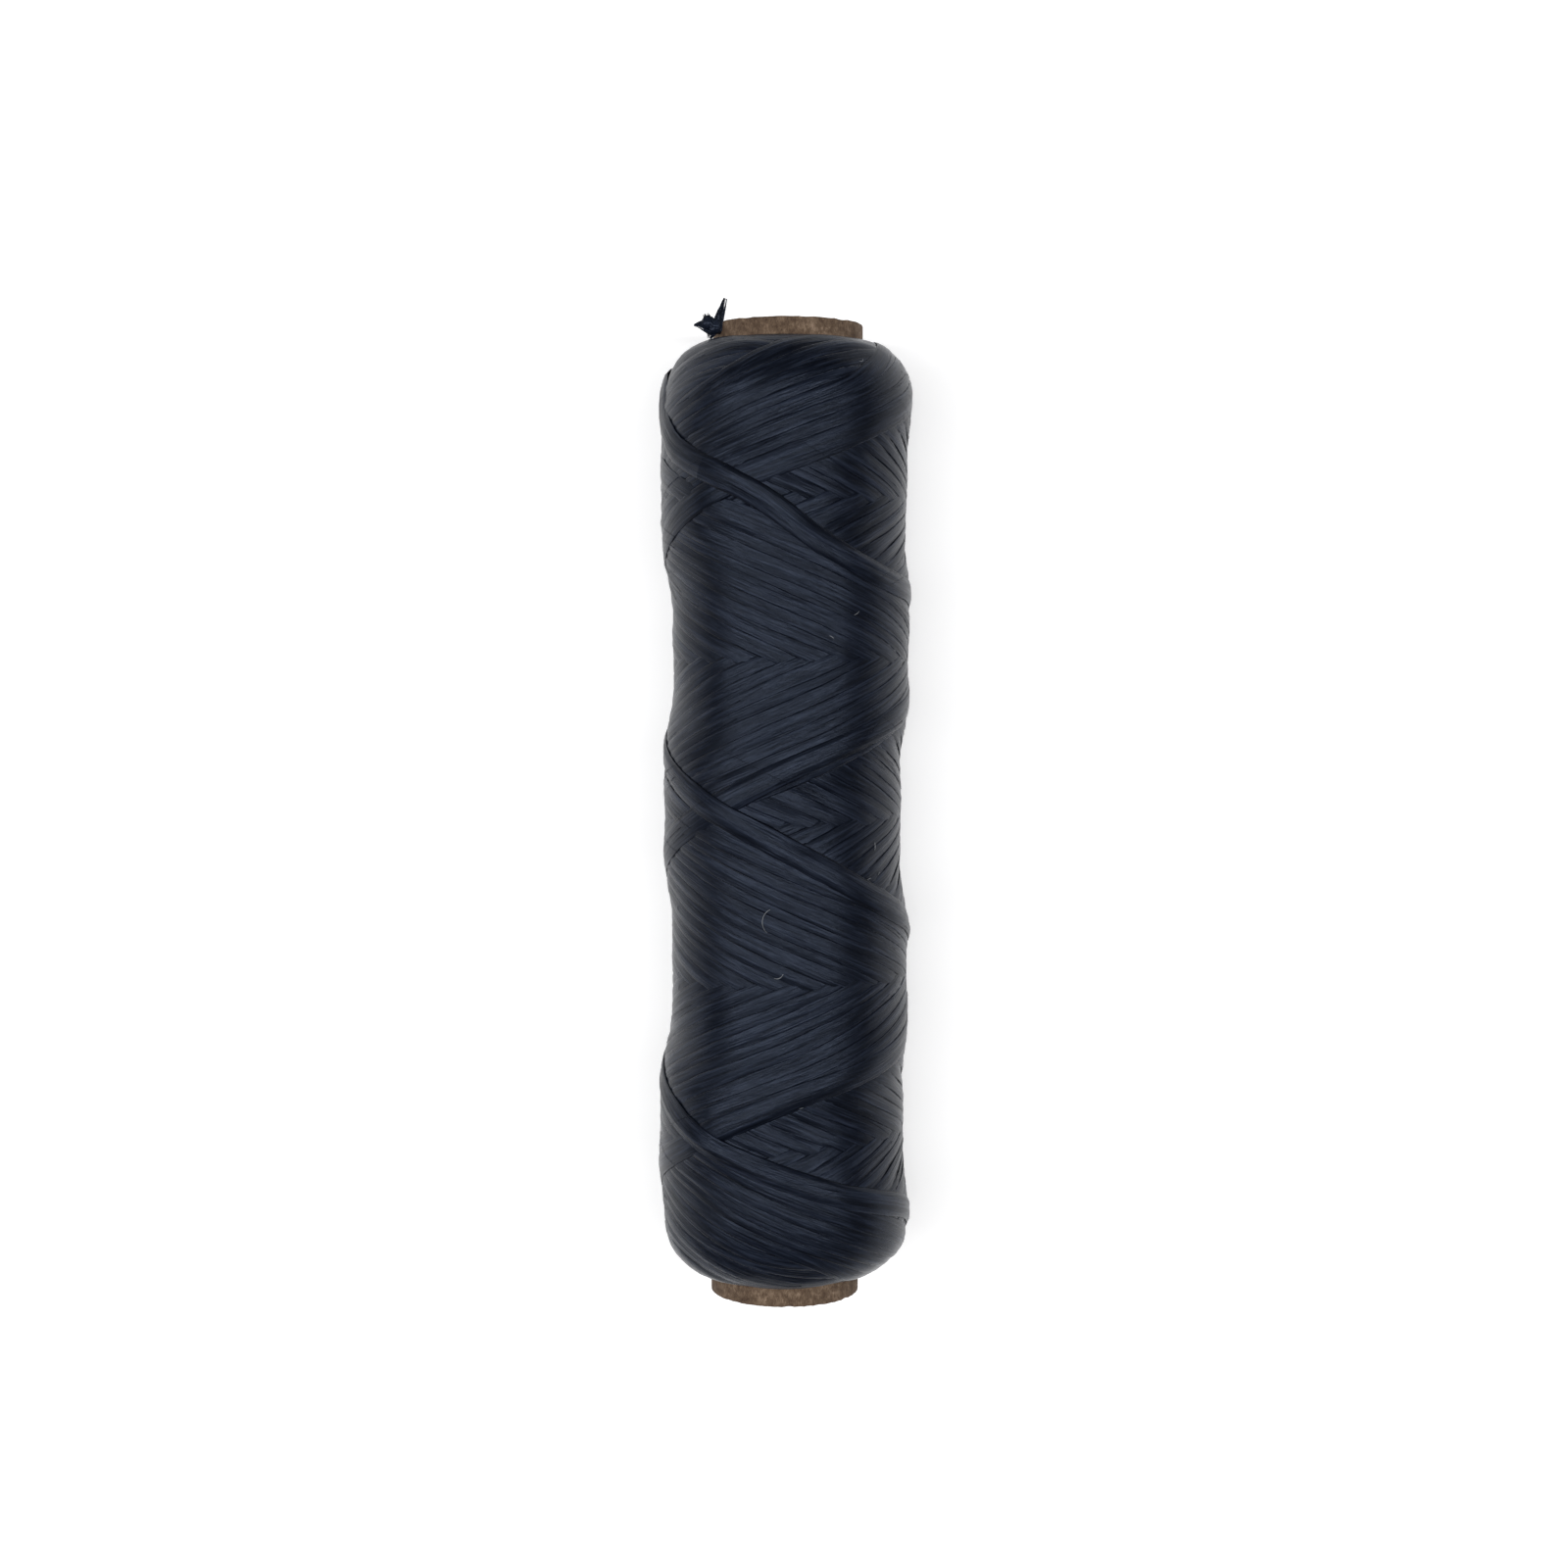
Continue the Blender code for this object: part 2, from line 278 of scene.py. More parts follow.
class Ribbon:
    """Stations along the ribbon, oldest first, with what it needs to be laid and meshed."""

    def __init__(self, generator):
        step = PI / STATIONS_PER_HALF
        top = LOW_TURN + (STROKES - 0.5) * PERIOD
        count = int((top - LOOP_LAST) / step)
        self.psi = LOOP_LAST + step * np.arange(count, -1, -1)
        self.count = len(self.psi)
        turns = Turns(generator)
        limit = outline.end - 0.2 - RIBBON_WIDTH / 2
        s = path_height(self.psi, turns) + wander(self.psi, generator)
        slack = through(LOOP_PATH, np.degrees(self.psi)) - PATH_SHIFT
        share = 1.0 - smooth_step(self.psi, math.radians(20.0), math.radians(32.0))
        s = s * (1 - share) + slack * share
        self.s = np.clip(s, -limit, limit)
        self.radius = outline.radius_at(self.s)
        ds = np.gradient(self.s)
        around = -step * self.radius
        size = np.hypot(ds, around)
        self.along = np.cumsum(size)
        self.side_s = around / size
        self.side_angle = -ds / size / self.radius
        low = generator_edges(self.along, generator)
        high = generator_edges(self.along, generator)
        self.half_low = RIBBON_WIDTH / 2 * (1 + low)
        self.half_high = RIBBON_WIDTH / 2 * (1 + high)
        newest = 1.0 - smooth_step(self.psi, LOW_TURN - 2.0, LOW_TURN + 2.0)
        self.pressed = smooth_step(self.psi, LOW_TURN + 1.0, LOW_TURN + 3.0)
        self.top = top_profile(self.along, generator) * (1.0 + NEWEST_BULK * newest)[:, None]

    def snapshots(self):
        """Stations where the last down stroke, the last up stroke and the slack end begin."""
        return [int(np.searchsorted(-self.psi, -psi))
                for psi in (LOW_TURN + PERIOD / 2, LOW_TURN, PI * 2, LOOP_FIRST)]

    def lateral(self, share):
        """Offsets in mm of lateral shares from -1 to 1, one row for each station."""
        return np.where(share < 0, self.half_low[:, None] * share, self.half_high[:, None] * share)

    def surface(self, share):
        """s and wrap angle of lateral shares at every station."""
        offset = self.lateral(share)
        s = self.s[:, None] + offset * self.side_s[:, None]
        angle = self.psi[:, None] + offset * self.side_angle[:, None]
        return s, angle


def generator_edges(along, generator):
    """How much wider or narrower than usual one side of the ribbon is."""
    return (smooth_noise(along, 21.0, 0.06, generator) + smooth_noise(along, 5.0, 0.035, generator)
            + smooth_noise(along, 1.7, 0.022, generator))


def top_profile(along, generator):
    """The ribbon's upper side over its under side: rounded edges and soft lengthwise strands."""
    rounded = 1.0 - np.abs(ACROSS) ** 2.6
    profile = np.tile(RIBBON_THICKNESS * (0.16 + 0.84 * rounded), (len(along), 1))
    for column in range(2, len(ACROSS) - 2):
        profile[:, column] += smooth_noise(along, 14.0, 0.013, generator)
        profile[:, column] += smooth_noise(along, 4.0, 0.007, generator)
    return profile


# ---------------------------------------------------------------- laying

class Ground:
    """Height of what has been laid so far, on a grid of arc length by wrap angle."""

    def __init__(self):
        self.rows = int(2 * outline.end / CELL) + 1
        self.first = -outline.end
        s = self.first + CELL * np.arange(self.rows)
        angle = TAU * np.arange(ROUND_CELLS) / ROUND_CELLS
        self.height = growth(s[:, None], angle[None, :])
        self.start = self.height.copy()
        self.owner = np.full((self.rows, ROUND_CELLS), -1)
        self.kept = []

    def cell(self, s, angle):
        row = np.clip((s - self.first) / CELL, 0, self.rows - 1.001)
        column = (angle / TAU * ROUND_CELLS) % ROUND_CELLS
        return row, column

    def look(self, s, angle):
        row, column = self.cell(s, angle)
        low_row = np.floor(row).astype(int)
        low_column = np.floor(column).astype(int) % ROUND_CELLS
        next_column = (low_column + 1) % ROUND_CELLS
        fr = row - low_row
        fc = column - np.floor(column)
        h = self.height
        low = h[low_row, low_column] * (1 - fc) + h[low_row, next_column] * fc
        high = h[low_row + 1, low_column] * (1 - fc) + h[low_row + 1, next_column] * fc
        return low * (1 - fr) + high * fr

    def lay(self, s, angle, top, owner):
        row, column = self.cell(s, angle)
        row = np.rint(row).astype(int)
        column = np.rint(column).astype(int) % ROUND_CELLS
        np.maximum.at(self.height, (row, column), top)
        self.owner[row, column] = owner


def growth(s, angle):
    """The step that the growing package has under the newest edge of either direction."""
    half = RIBBON_WIDTH / 2 * SLANT
    up = np.full(np.broadcast(s, angle).shape, LEAD)
    down = up.copy()
    for turn in range(-1, 4):
        psi = angle + turn * TAU
        edge = -REACH + RISE * (LOW_TURN - psi) + half
        edge = edge + np.where((psi > 0) & (psi < LOW_TURN), last_wander(psi), 0.0)
        up = np.where(edge >= s, np.minimum(up, edge - s), up)
    for turn in range(1, 7):
        psi = angle + turn * TAU
        edge = -REACH + RISE * (psi - LOW_TURN) - half
        edge = edge + np.where(psi > LOW_TURN, last_wander(psi), 0.0)
        down = np.where(edge <= s, np.minimum(down, s - edge), down)
    barrel = 1.0 - smooth_step(np.abs(s), 39.0, 46.0)
    return GROWTH * (ramp_up(up) + ramp_up(down) - 1.0) * barrel


def ramp_up(distance):
    """Height share behind a newest edge: a soft step, then an even fall to the next edge."""
    return (1.0 - distance / LEAD) * smooth_step(distance, 0.0, EDGE_SOFT)


def blur(values, sigma):
    """Gaussian blur down the first axis."""
    reach = int(3 * sigma) + 1
    kernel = np.exp(-0.5 * (np.arange(-reach, reach + 1) / sigma) ** 2)
    kernel /= kernel.sum()
    padded = np.concatenate([np.repeat(values[:1], reach, 0), values, np.repeat(values[-1:], reach, 0)])
    return sum(weight * padded[k:k + len(values)] for k, weight in enumerate(kernel))


def highest_near(values, reach):
    """The highest value within reach rows, down the first axis."""
    padded = np.concatenate([np.repeat(values[:1], reach, 0), values, np.repeat(values[-1:], reach, 0)])
    stack = [padded[k:k + len(values)] for k in range(2 * reach + 1)]
    return np.max(stack, axis=0)


def drape(raw):
    """The under side of a limp flat ribbon over ground heights raw, stations by lateral samples."""
    side = np.concatenate([raw[:, :1], raw, raw[:, -1:]], axis=1)
    across = np.maximum(np.maximum(side[:, :-2], side[:, 1:-1]), side[:, 2:])
    over = highest_near(across, 1)
    spread = np.concatenate([over[:, :1], over, over[:, -1:]], axis=1)
    level = 0.25 * spread[:, :-2] + 0.5 * spread[:, 1:-1] + 0.25 * spread[:, 2:]
    return np.maximum(blur(level, 1.6), raw)


def tuck(draped, raw, pressed):
    """Presses the edges of older ribbons down to what they lie on."""
    share = pressed[:, None] * EDGE_TUCK * np.abs(ACROSS)[None, :] ** 4
    return draped - share * np.maximum(draped - blur(raw, 2.5), 0.0)


def lay_all(ribbon, ground):
    """Lays the ribbon from its oldest station to its newest and returns its under side."""
    s, angle = ribbon.surface(ACROSS)
    under = np.zeros_like(s)
    raw = np.zeros_like(s)
    size = STATIONS_PER_HALF
    chunks = [(k, min(k + size, ribbon.count)) for k in range(0, ribbon.count, size)]
    context = 8
    for number, (first, last) in enumerate(chunks):
        if any(first < station <= last for station in ribbon.snapshots()):
            ground.kept.append(ground.owner[ground.owner >= 0])
        raw[first:last] = ground.look(s[first:last], angle[first:last])
        if number:
            before_first, before_last = chunks[number - 1]
            finish_chunk(ribbon, ground, raw, under, s, angle, before_first, before_last, last, context)
    first, last = chunks[-1]
    finish_chunk(ribbon, ground, raw, under, s, angle, first, last, last, context)
    return under


FINE_ACROSS = np.linspace(-1.0, 1.0, 17)


def finish_chunk(ribbon, ground, raw, under, s, angle, first, last, known, context):
    low = max(first - context, 0)
    high = min(last + context, known)
    draped = tuck(drape(raw[low:high]), raw[low:high], ribbon.pressed[low:high])
    under[first:last] = draped[first - low:last - low]
    end = min(last + 1, known)
    rows = np.arange(first, end)
    under_rows = draped[first - low:end - low]
    fine = np.arange(len(rows) * 3 - 2) / 3.0
    base = np.minimum(fine.astype(int), max(len(rows) - 2, 0))
    share = (fine - base)[:, None]
    tops = under_rows + ribbon.top[rows]

    def finer(values):
        if len(rows) < 2:
            return values
        return values[base] * (1 - share) + values[base + 1] * share

    def widen(values):
        return np.stack([np.interp(FINE_ACROSS, ACROSS, row) for row in values])

    fine_s = widen(finer(s[rows]))
    fine_angle = widen(finer(angle[rows]))
    fine_top = widen(finer(tops))
    owners = np.repeat(rows[np.rint(fine).astype(int)][:, None], len(FINE_ACROSS), axis=1)
    ground.lay(fine_s, fine_angle, fine_top, owners)


# ---------------------------------------------------------------- meshes

def new_mesh_piece(name, vertices, faces, material, smooth=True):
    mesh = bpy.data.meshes.new(name)
    mesh.from_pydata([tuple(v) for v in vertices], [], [tuple(f) for f in faces])
    mesh.validate()
    mesh.polygons.foreach_set("use_smooth", [smooth] * len(mesh.polygons))
    sharpen_caps(mesh)
    piece = bpy.data.objects.new(name, mesh)
    bpy.context.scene.collection.objects.link(piece)
    mesh.materials.append(material)
    return piece


def sharpen_caps(mesh):
    """Keeps the many-sided end faces of strips from bending the shading beside them."""
    caps = {key for face in mesh.polygons if len(face.vertices) > 4 for key in face.edge_keys}
    if caps:
        sharp = [tuple(sorted(edge.vertices)) in caps for edge in mesh.edges]
        mesh.attributes.new("sharp_edge", "BOOLEAN", "EDGE").data.foreach_set("value", sharp)


def add_weave(piece, values):
    """Per-vertex (along, across, strand number) for the fibres in the material."""
    attribute = piece.data.attributes.new("weave", "FLOAT_VECTOR", "POINT")
    attribute.data.foreach_set("vector", np.asarray(values, np.float32).ravel())


UNDER_COLUMNS = (8, 5, 2)


def section_height(under, top):
    """Heights round the closed cross-section: over the top, then back along the under side."""
    over = under + top
    below = under[..., UNDER_COLUMNS]
    return np.concatenate([over, below], axis=-1)


def strip_faces(count, ring, offset):
    """Faces of a closed tube of count rings, capped at both ends."""
    rows = np.arange(count - 1)[:, None] * ring
    columns = np.arange(ring)[None, :]
    following = (columns + 1) % ring
    a = rows + columns
    b = rows + following
    quads = np.stack([a, a + ring, b + ring, b], axis=-1).reshape(-1, 4) + offset
    faces = quads.tolist()
    faces.append([offset + k for k in range(ring)])
    faces.append([offset + (count - 1) * ring + k for k in reversed(range(ring))])
    return faces


def ribbon_runs(wanted):
    """First and last station of each unbroken run of wanted stations."""
    runs = []
    start = None
    for station, keep in enumerate(wanted):
        if keep and start is None:
            start = station
        if not keep and start is not None:
            runs.append((start, station))
            start = None
    if start is not None:
        runs.append((start, len(wanted)))
    return runs


def visible_stations(ribbon, ground):
    owners = [ground.owner[ground.owner >= 0]] + ground.kept
    counts = np.max([np.bincount(row, minlength=ribbon.count) for row in owners], axis=0)
    shown = counts > 1
    spread = np.convolve(shown.astype(int), np.ones(9, int), mode="same") > 0
    return spread


def ribbon_piece(name, ribbon, under, mean, wanted, first, last, material):
    """Meshes the wanted stations from first to last as closed flat strips."""
    share = np.concatenate([ACROSS, ACROSS[list(UNDER_COLUMNS)]])
    vertices = []
    weave = []
    faces = []
    offset = 0
    ring = len(share)
    for start, stop in ribbon_runs(wanted[first:last]):
        rows = np.arange(first + start, first + stop, ROWS_PER_SEGMENT)
        if len(rows) < 2:
            continue
        side = ribbon.lateral(share)[rows]
        s = ribbon.s[rows, None] + side * ribbon.side_s[rows, None]
        angle = ribbon.psi[rows, None] + side * ribbon.side_angle[rows, None]
        height = section_height(under[rows], ribbon.top[rows])
        s = np.clip(s, -outline.end, outline.end)
        points = place(s, angle, height - np.interp(s, mean[0], mean[1]))
        points = stand_off(points, s, angle, ribbon.psi[rows], height - under[rows].mean(1)[:, None])
        vertices.append(points.reshape(-1, 3))
        along = np.repeat(ribbon.along[rows, None], ring, axis=1)
        strand = np.repeat(np.floor(rows[:, None] / (3 * TAU / PI * STATIONS_PER_HALF)), ring, axis=1)
        weave.append(np.stack([along, side, strand], axis=-1).reshape(-1, 3))
        faces.extend(strip_faces(len(rows), ring, offset))
        offset += len(rows) * ring
    piece = new_mesh_piece(name, np.concatenate(vertices), faces, material)
    add_weave(piece, np.concatenate(weave))
    return piece


def stand_off(points, s, angle, psi, thickness):
    """Moves the slack end's points off the shoulder to where it hangs free."""
    degrees = np.degrees(psi)
    share = smooth_step(degrees, -48.0, -14.0) * (1.0 - smooth_step(degrees, 30.0, 52.0))
    if not share.any():
        return points
    lean = LOOP_LEAN * np.clip((angle - psi[:, None]) / 0.08, 0.0, 1.0)
    lean = lean * (1.0 - smooth_step(degrees, 5.0, 25.0))[:, None]
    radius = through(LOOP_RADII, np.clip(degrees, -60.0, 52.0))[:, None] + thickness - lean
    free = np.stack([
        AXIS_X - radius * np.cos(angle),
        MIDDLE_Y + outline.at(s)[0],
        AXIS_Z + radius * np.sin(angle),
    ], axis=-1) * MM
    share = share[:, None, None]
    return points * (1 - share) + free * share


def mean_height(ground):
    """Mean laid height by arc length, smoothed."""
    s = ground.first + CELL * np.arange(ground.rows)
    mean = blur(ground.height.mean(axis=1)[:, None], 3.0)[:, 0]
    return s, mean


BODY_ROWS = 180
BODY_COLUMNS = 96
BODY_SINK = 0.05


def body_piece(name, mean, material):
    """The older thread under the ribbons that show: a closed ring round the core."""
    s = np.linspace(-outline.end, outline.end, BODY_ROWS)
    angle = TAU * np.arange(BODY_COLUMNS) / BODY_COLUMNS
    rows, columns = np.meshgrid(s, angle, indexing="ij")
    height = growth(rows, columns) - np.interp(rows, mean[0], mean[1]) - BODY_SINK
    points = place(rows, columns, height)
    inner = []
    seat = CORE_RADIUS + 0.04
    for end in (HALF_LENGTH - 0.3, -HALF_LENGTH + 0.3):
        inner.append(np.stack([
            AXIS_X - seat * np.cos(angle),
            np.full(BODY_COLUMNS, MIDDLE_Y + end),
            AXIS_Z + seat * np.sin(angle),
        ], axis=-1)[None] * MM)
    points = np.concatenate([points] + inner)
    piece = new_mesh_piece(name, points.reshape(-1, 3), ring_faces(len(points), BODY_COLUMNS), material)
    around = np.concatenate([columns, np.tile(angle, (2, 1))]) * END_RADIUS
    along_core = np.concatenate([rows, np.zeros((2, BODY_COLUMNS))])
    zero = np.zeros_like(around)
    add_weave(piece, np.stack([around, along_core, zero], axis=-1).reshape(-1, 3))
    return piece


def ring_faces(rows, columns):
    """Faces of a surface that closes on itself both ways."""
    faces = []
    for row in range(rows):
        following = (row + 1) % rows
        for column in range(columns):
            beside = (column + 1) % columns
            faces.append((row * columns + column, following * columns + column,
                          following * columns + beside, row * columns + beside))
    return faces


# ---------------------------------------------------------------- core

CORE_COLUMNS = 144
END_ROUGHNESS = 0.05
WORN = 0.06


def ring_profile(inner, outer):
    """(radius, distance in from the end) corners of a cut ply's end, outer to inner."""
    return [(outer, WORN * 2.2), (outer - WORN * 0.3, WORN * 0.8), (outer - WORN, 0.0),
            ((outer + inner) / 2, -0.01), (inner + WORN, 0.0), (inner + WORN * 0.3, WORN * 0.8),
            (inner, WORN * 2.2)]


def wave_noise(angle, generator, waves):
    """Smooth random values round a circle, about 1 high."""
    total = np.zeros_like(angle)
    for wave in range(3, waves):
        total += generator.normal() * np.cos(wave * angle + generator.uniform(0, TAU))
    return total / math.sqrt(waves / 2)


def ply_piece(name, index, material):
    """One paper ply: a closed ring with worn, slightly uneven cut ends."""
    inner = CORE_RADIUS - PLY_THICKNESS - (2 - index) * (PLY_THICKNESS + PLY_GAP)
    outer = inner + PLY_THICKNESS + (PLY_GAP * 0.6 if index < 2 else 0.0)
    generator = np.random.default_rng(SEED + 11 + index)
    angle = TAU * np.arange(CORE_COLUMNS) / CORE_COLUMNS
    between = np.linspace(1.0, -1.0, 9)[1:-1] * CORE_HALF
    loops = []
    for side in (1.0, -1.0):
        edge = END_ROUGHNESS * np.abs(wave_noise(angle, generator, 26))
        corners = ring_profile(inner, outer)
        if side < 0:
            corners = corners[::-1]
        for radius, depth in corners:
            uneven = 0.012 * wave_noise(angle, generator, 18)
            loops.append((radius + uneven, side * (CORE_HALF - depth - edge)))
        far = inner if side > 0 else outer
        loops += [(np.full(CORE_COLUMNS, far), np.full(CORE_COLUMNS, side * y)) for y in between]
    points = np.stack([
        np.stack([AXIS_X - radius * np.cos(angle), y, AXIS_Z + radius * np.sin(angle)], axis=-1)
        for radius, y in loops]) * MM
    return new_mesh_piece(name, points.reshape(-1, 3), ring_faces(len(points), CORE_COLUMNS), material)


# ---------------------------------------------------------------- hairs and bundles

def tube(points, radii, sides=5):
    """Vertices and faces of a closed tube along points, all in millimetres."""
    points = np.asarray(points, float)
    tangent = np.gradient(points, axis=0)
    tangent /= np.linalg.norm(tangent, axis=1)[:, None]
    guide = np.array([0.31, 0.17, 0.93])
    side = np.cross(tangent, guide)
    side /= np.linalg.norm(side, axis=1)[:, None]
    up = np.cross(side, tangent)
    turn = TAU * np.arange(sides) / sides
    ring = (side[:, None, :] * np.cos(turn)[None, :, None] + up[:, None, :] * np.sin(turn)[None, :, None])
    vertices = points[:, None, :] + ring * np.asarray(radii)[:, None, None]
    return vertices.reshape(-1, 3), strip_faces(len(points), sides, 0)


class Collector:
    """Gathers tubes into one piece."""

    def __init__(self):
        self.vertices = []
        self.faces = []
        self.weave = []
        self.offset = 0

    def add(self, vertices, faces, seed=0.0):
        self.vertices.append(vertices)
        self.faces.extend([[k + self.offset for k in face] for face in faces])
        self.offset += len(vertices)
        along = np.linalg.norm(vertices - vertices[0], axis=1)
        self.weave.append(np.stack([along, along * 0 + seed * 0.7, along * 0 + seed], axis=-1))

    def piece(self, name, material):
        made = new_mesh_piece(name, np.concatenate(self.vertices) * MM, self.faces, material)
        add_weave(made, np.concatenate(self.weave))
        return made


BUNDLE_POINTS = 14


def bundle(collector, path, radii, flat, strands, fray, generator):
    """A bundle of filaments along a path that spreads at its last points."""
    path = np.asarray(path, float)
    t = np.linspace(0, 1, len(path))
    fine = np.linspace(0, 1, BUNDLE_POINTS)
    centre = np.stack([np.interp(fine, t, path[:, k]) for k in range(3)], axis=-1)
    centre[1:-1] = 0.25 * centre[:-2] + 0.5 * centre[1:-1] + 0.25 * centre[2:]
    width = np.interp(fine, t, radii)
    tangent = np.gradient(centre, axis=0)
    tangent /= np.linalg.norm(tangent, axis=1)[:, None]
    side = np.cross(tangent, np.array(flat))
    side /= np.linalg.norm(side, axis=1)[:, None]
    up = np.cross(side, tangent)
    for strand in range(strands):
        reach = math.sqrt(generator.uniform(0.05, 1.0))
        phase = generator.uniform(0, TAU) + generator.uniform(-0.8, 0.8) * fine
        stop = generator.uniform(0.72, 1.0) if strand % 3 else 1.0
        spread = width * reach * (1 + fray * fine ** 3 * generator.uniform(0.2, 1.0))
        line = (centre + side * (spread * np.cos(phase))[:, None]
                + up * (0.55 * spread * np.sin(phase))[:, None])
        count = max(4, int(len(fine) * stop))
        thick = generator.uniform(0.035, 0.07)
        taper = thick * (1 - 0.6 * np.linspace(0, 1, count) ** 2)
        vertices, faces = tube(line[:count], taper)
        collector.add(vertices, faces, strand)


FILAMENTS = 300
LUMP_ROWS = 14
LUMP_COLUMNS = 22


def lump(collector, centre, radii, turn, seed):
    """A knotted lobe: a rounded body with strand ridges round it."""
    polar = np.linspace(0.12, PI - 0.12, LUMP_ROWS)
    round_angle = TAU * np.arange(LUMP_COLUMNS) / LUMP_COLUMNS
    p, a = np.meshgrid(polar, round_angle, indexing="ij")
    ridge = 1 + 0.09 * np.sin(5 * a + 3.1 * p + seed) + 0.05 * np.sin(11 * a - 2 * p + 2 * seed)
    body = np.stack([np.sin(p) * np.cos(a) * ridge, np.sin(p) * np.sin(a) * ridge, np.cos(p)], axis=-1)
    body = body * np.array(radii)
    c, s = math.cos(turn), math.sin(turn)
    turned = np.stack([c * body[..., 0] - s * body[..., 2], body[..., 1],
                       s * body[..., 0] + c * body[..., 2]], axis=-1)
    vertices = turned.reshape(-1, 3) + np.array(centre)
    collector.add(vertices, strip_faces(LUMP_ROWS, LUMP_COLUMNS, 0), seed)


# The tail's lobes (centre, radii, turn, seed) and bundles (path, radii, strands, fray), from its middle.
TAIL_LUMPS = (
    ((-0.5, 0.12, 0.1), (0.74, 0.78, 0.55), 0.2, 0.4),
    ((0.45, -0.15, 0.0), (0.72, 0.86, 0.6), -0.4, 1.9),
    ((-0.05, -0.5, -0.1), (0.86, 0.6, 0.55), 0.7, 3.3),
    ((0.72, 0.75, 0.15), (0.4, 0.8, 0.32), -0.3, 5.1),
)
TAIL_BUNDLES = (
    (((0.3, -0.5, 0.2), (0.62, 0.5, 0.3), (0.95, 1.5, 0.35), (1.28, 2.6, 0.4)),
     (0.66, 0.5, 0.36, 0.2), 60, 0.3),
    (((0.2, -0.4, 0.1), (-0.6, -0.2, 0.2), (-1.3, -0.05, 0.15), (-1.95, -0.1, 0.0)),
     (0.6, 0.66, 0.36, 0.08), 46, 0.4),
    (((0.0, -0.3, 0.2), (-0.35, 0.3, 0.3), (-0.6, 0.7, 0.3), (-0.75, 1.05, 0.25)),
     (0.6, 0.55, 0.4, 0.24), 34, 0.4),
    (((0.2, 0.1, 0.0), (0.1, -0.7, 0.0), (-0.2, -1.1, -0.1), (-0.35, -1.4, -0.3)),
     (0.55, 0.55, 0.4, 0.25), 26, 0.2),
)


def tail_piece(material):
    """The knotted, trimmed and frayed end that lies on the core beside the wound thread."""
    generator = np.random.default_rng(SEED + 41)
    collector = Collector()
    middle = np.array([(tail_low[k] + tail_high[k]) / 2 / MM for k in range(3)])
    for centre, radii, turn, seed in TAIL_LUMPS:
        lump(collector, middle + centre, radii, turn, seed)
    for path, radii, strands, fray in TAIL_BUNDLES:
        bundle(collector, [middle + p for p in path], radii, (0, 0, 1), strands, fray, generator)
    return collector.piece("frayed_tail", material)


def loose_filaments(ribbon, ground, mean, material):
    """Single filaments that have worked loose and lie over the ribbons, mostly along them."""
    generator = np.random.default_rng(SEED + 83)
    collector = Collector()
    shown = np.unique(ground.owner[ground.owner >= 0])
    for number in range(FILAMENTS):
        start = int(generator.choice(shown))
        count = int(generator.uniform(5, 16))
        rows = np.arange(start, min(start + count, ribbon.count - 1))
        if len(rows) < 4:
            continue
        t = np.linspace(0, 1, len(rows))
        drift = generator.uniform(-0.5, 0.5) * t + generator.uniform(-0.9, 0.9)
        side = RIBBON_WIDTH / 2 * drift
        s = ribbon.s[rows] + side * ribbon.side_s[rows]
        angle = ribbon.psi[rows] + side * ribbon.side_angle[rows]
        lifted = ground.look(s, angle) + 0.02 + generator.uniform(0.0, 0.12) * t ** 2
        line = place(s, angle, lifted - np.interp(s, mean[0], mean[1])) / MM
        thick = generator.uniform(0.012, 0.026)
        vertices, faces = tube(line, thick * (1 - 0.5 * t), 4)
        collector.add(vertices, faces, number)
    return collector.piece("loose_filaments", material)


# Dust: (y, wrap angle, length, direction, curl) in millimetres and degrees, on the package's outside.
DUST = (
    (-8.9, 84.0, 3.2, 255.0, 0.5), (-15.9, 84.0, 1.3, 20.0, 0.4), (-3.4, 138.0, 0.9, 80.0, 0.2),
    (-6.1, 134.0, 0.7, 190.0, 0.1), (-5.9, 139.0, 0.5, 40.0, 0.1), (-29.1, 96.0, 0.5, 10.0, 0.1),
    (-18.3, 22.0, 0.6, 70.0, 0.1), (-10.0, 22.0, 0.6, 110.0, 0.1), (20.6, 122.0, 0.8, 30.0, 0.2),
    (18.2, 112.0, 0.6, 150.0, 0.1), (46.2, 126.0, 0.8, 20.0, 0.3), (14.0, 260.0, 1.8, 60.0, 0.4),
    (-22.0, 290.0, 2.4, 130.0, 0.5), (30.0, 215.0, 1.1, 15.0, 0.3), (-38.0, 318.0, 1.0, 95.0, 0.2),
    (2.0, 205.0, 1.5, 170.0, 0.4), (38.0, 300.0, 0.9, 50.0, 0.2),
)


def dust_piece(ground, mean, material):
    """Pale hairs and specks of dust that the wax holds."""
    collector = Collector()
    for number, (y, degrees, length, direction, curl) in enumerate(DUST):
        t = np.linspace(-0.5, 0.5, 9)
        heading = math.radians(direction) + curl * 4 * t
        step_s = np.cumsum(np.sin(heading)) * length / len(t)
        step_a = np.cumsum(np.cos(heading)) * length / len(t) / END_RADIUS
        s = y - MIDDLE_Y + step_s
        angle = math.radians(degrees) + step_a
        height = ground.look(s, angle) - np.interp(s, mean[0], mean[1]) + 0.05
        line = place(s, angle, height) / MM
        vertices, faces = tube(line, 0.035 * (1.1 - np.abs(t)), 5)
        collector.add(vertices, faces, number)
    return collector.piece("dust", material)


# ---------------------------------------------------------------- materials

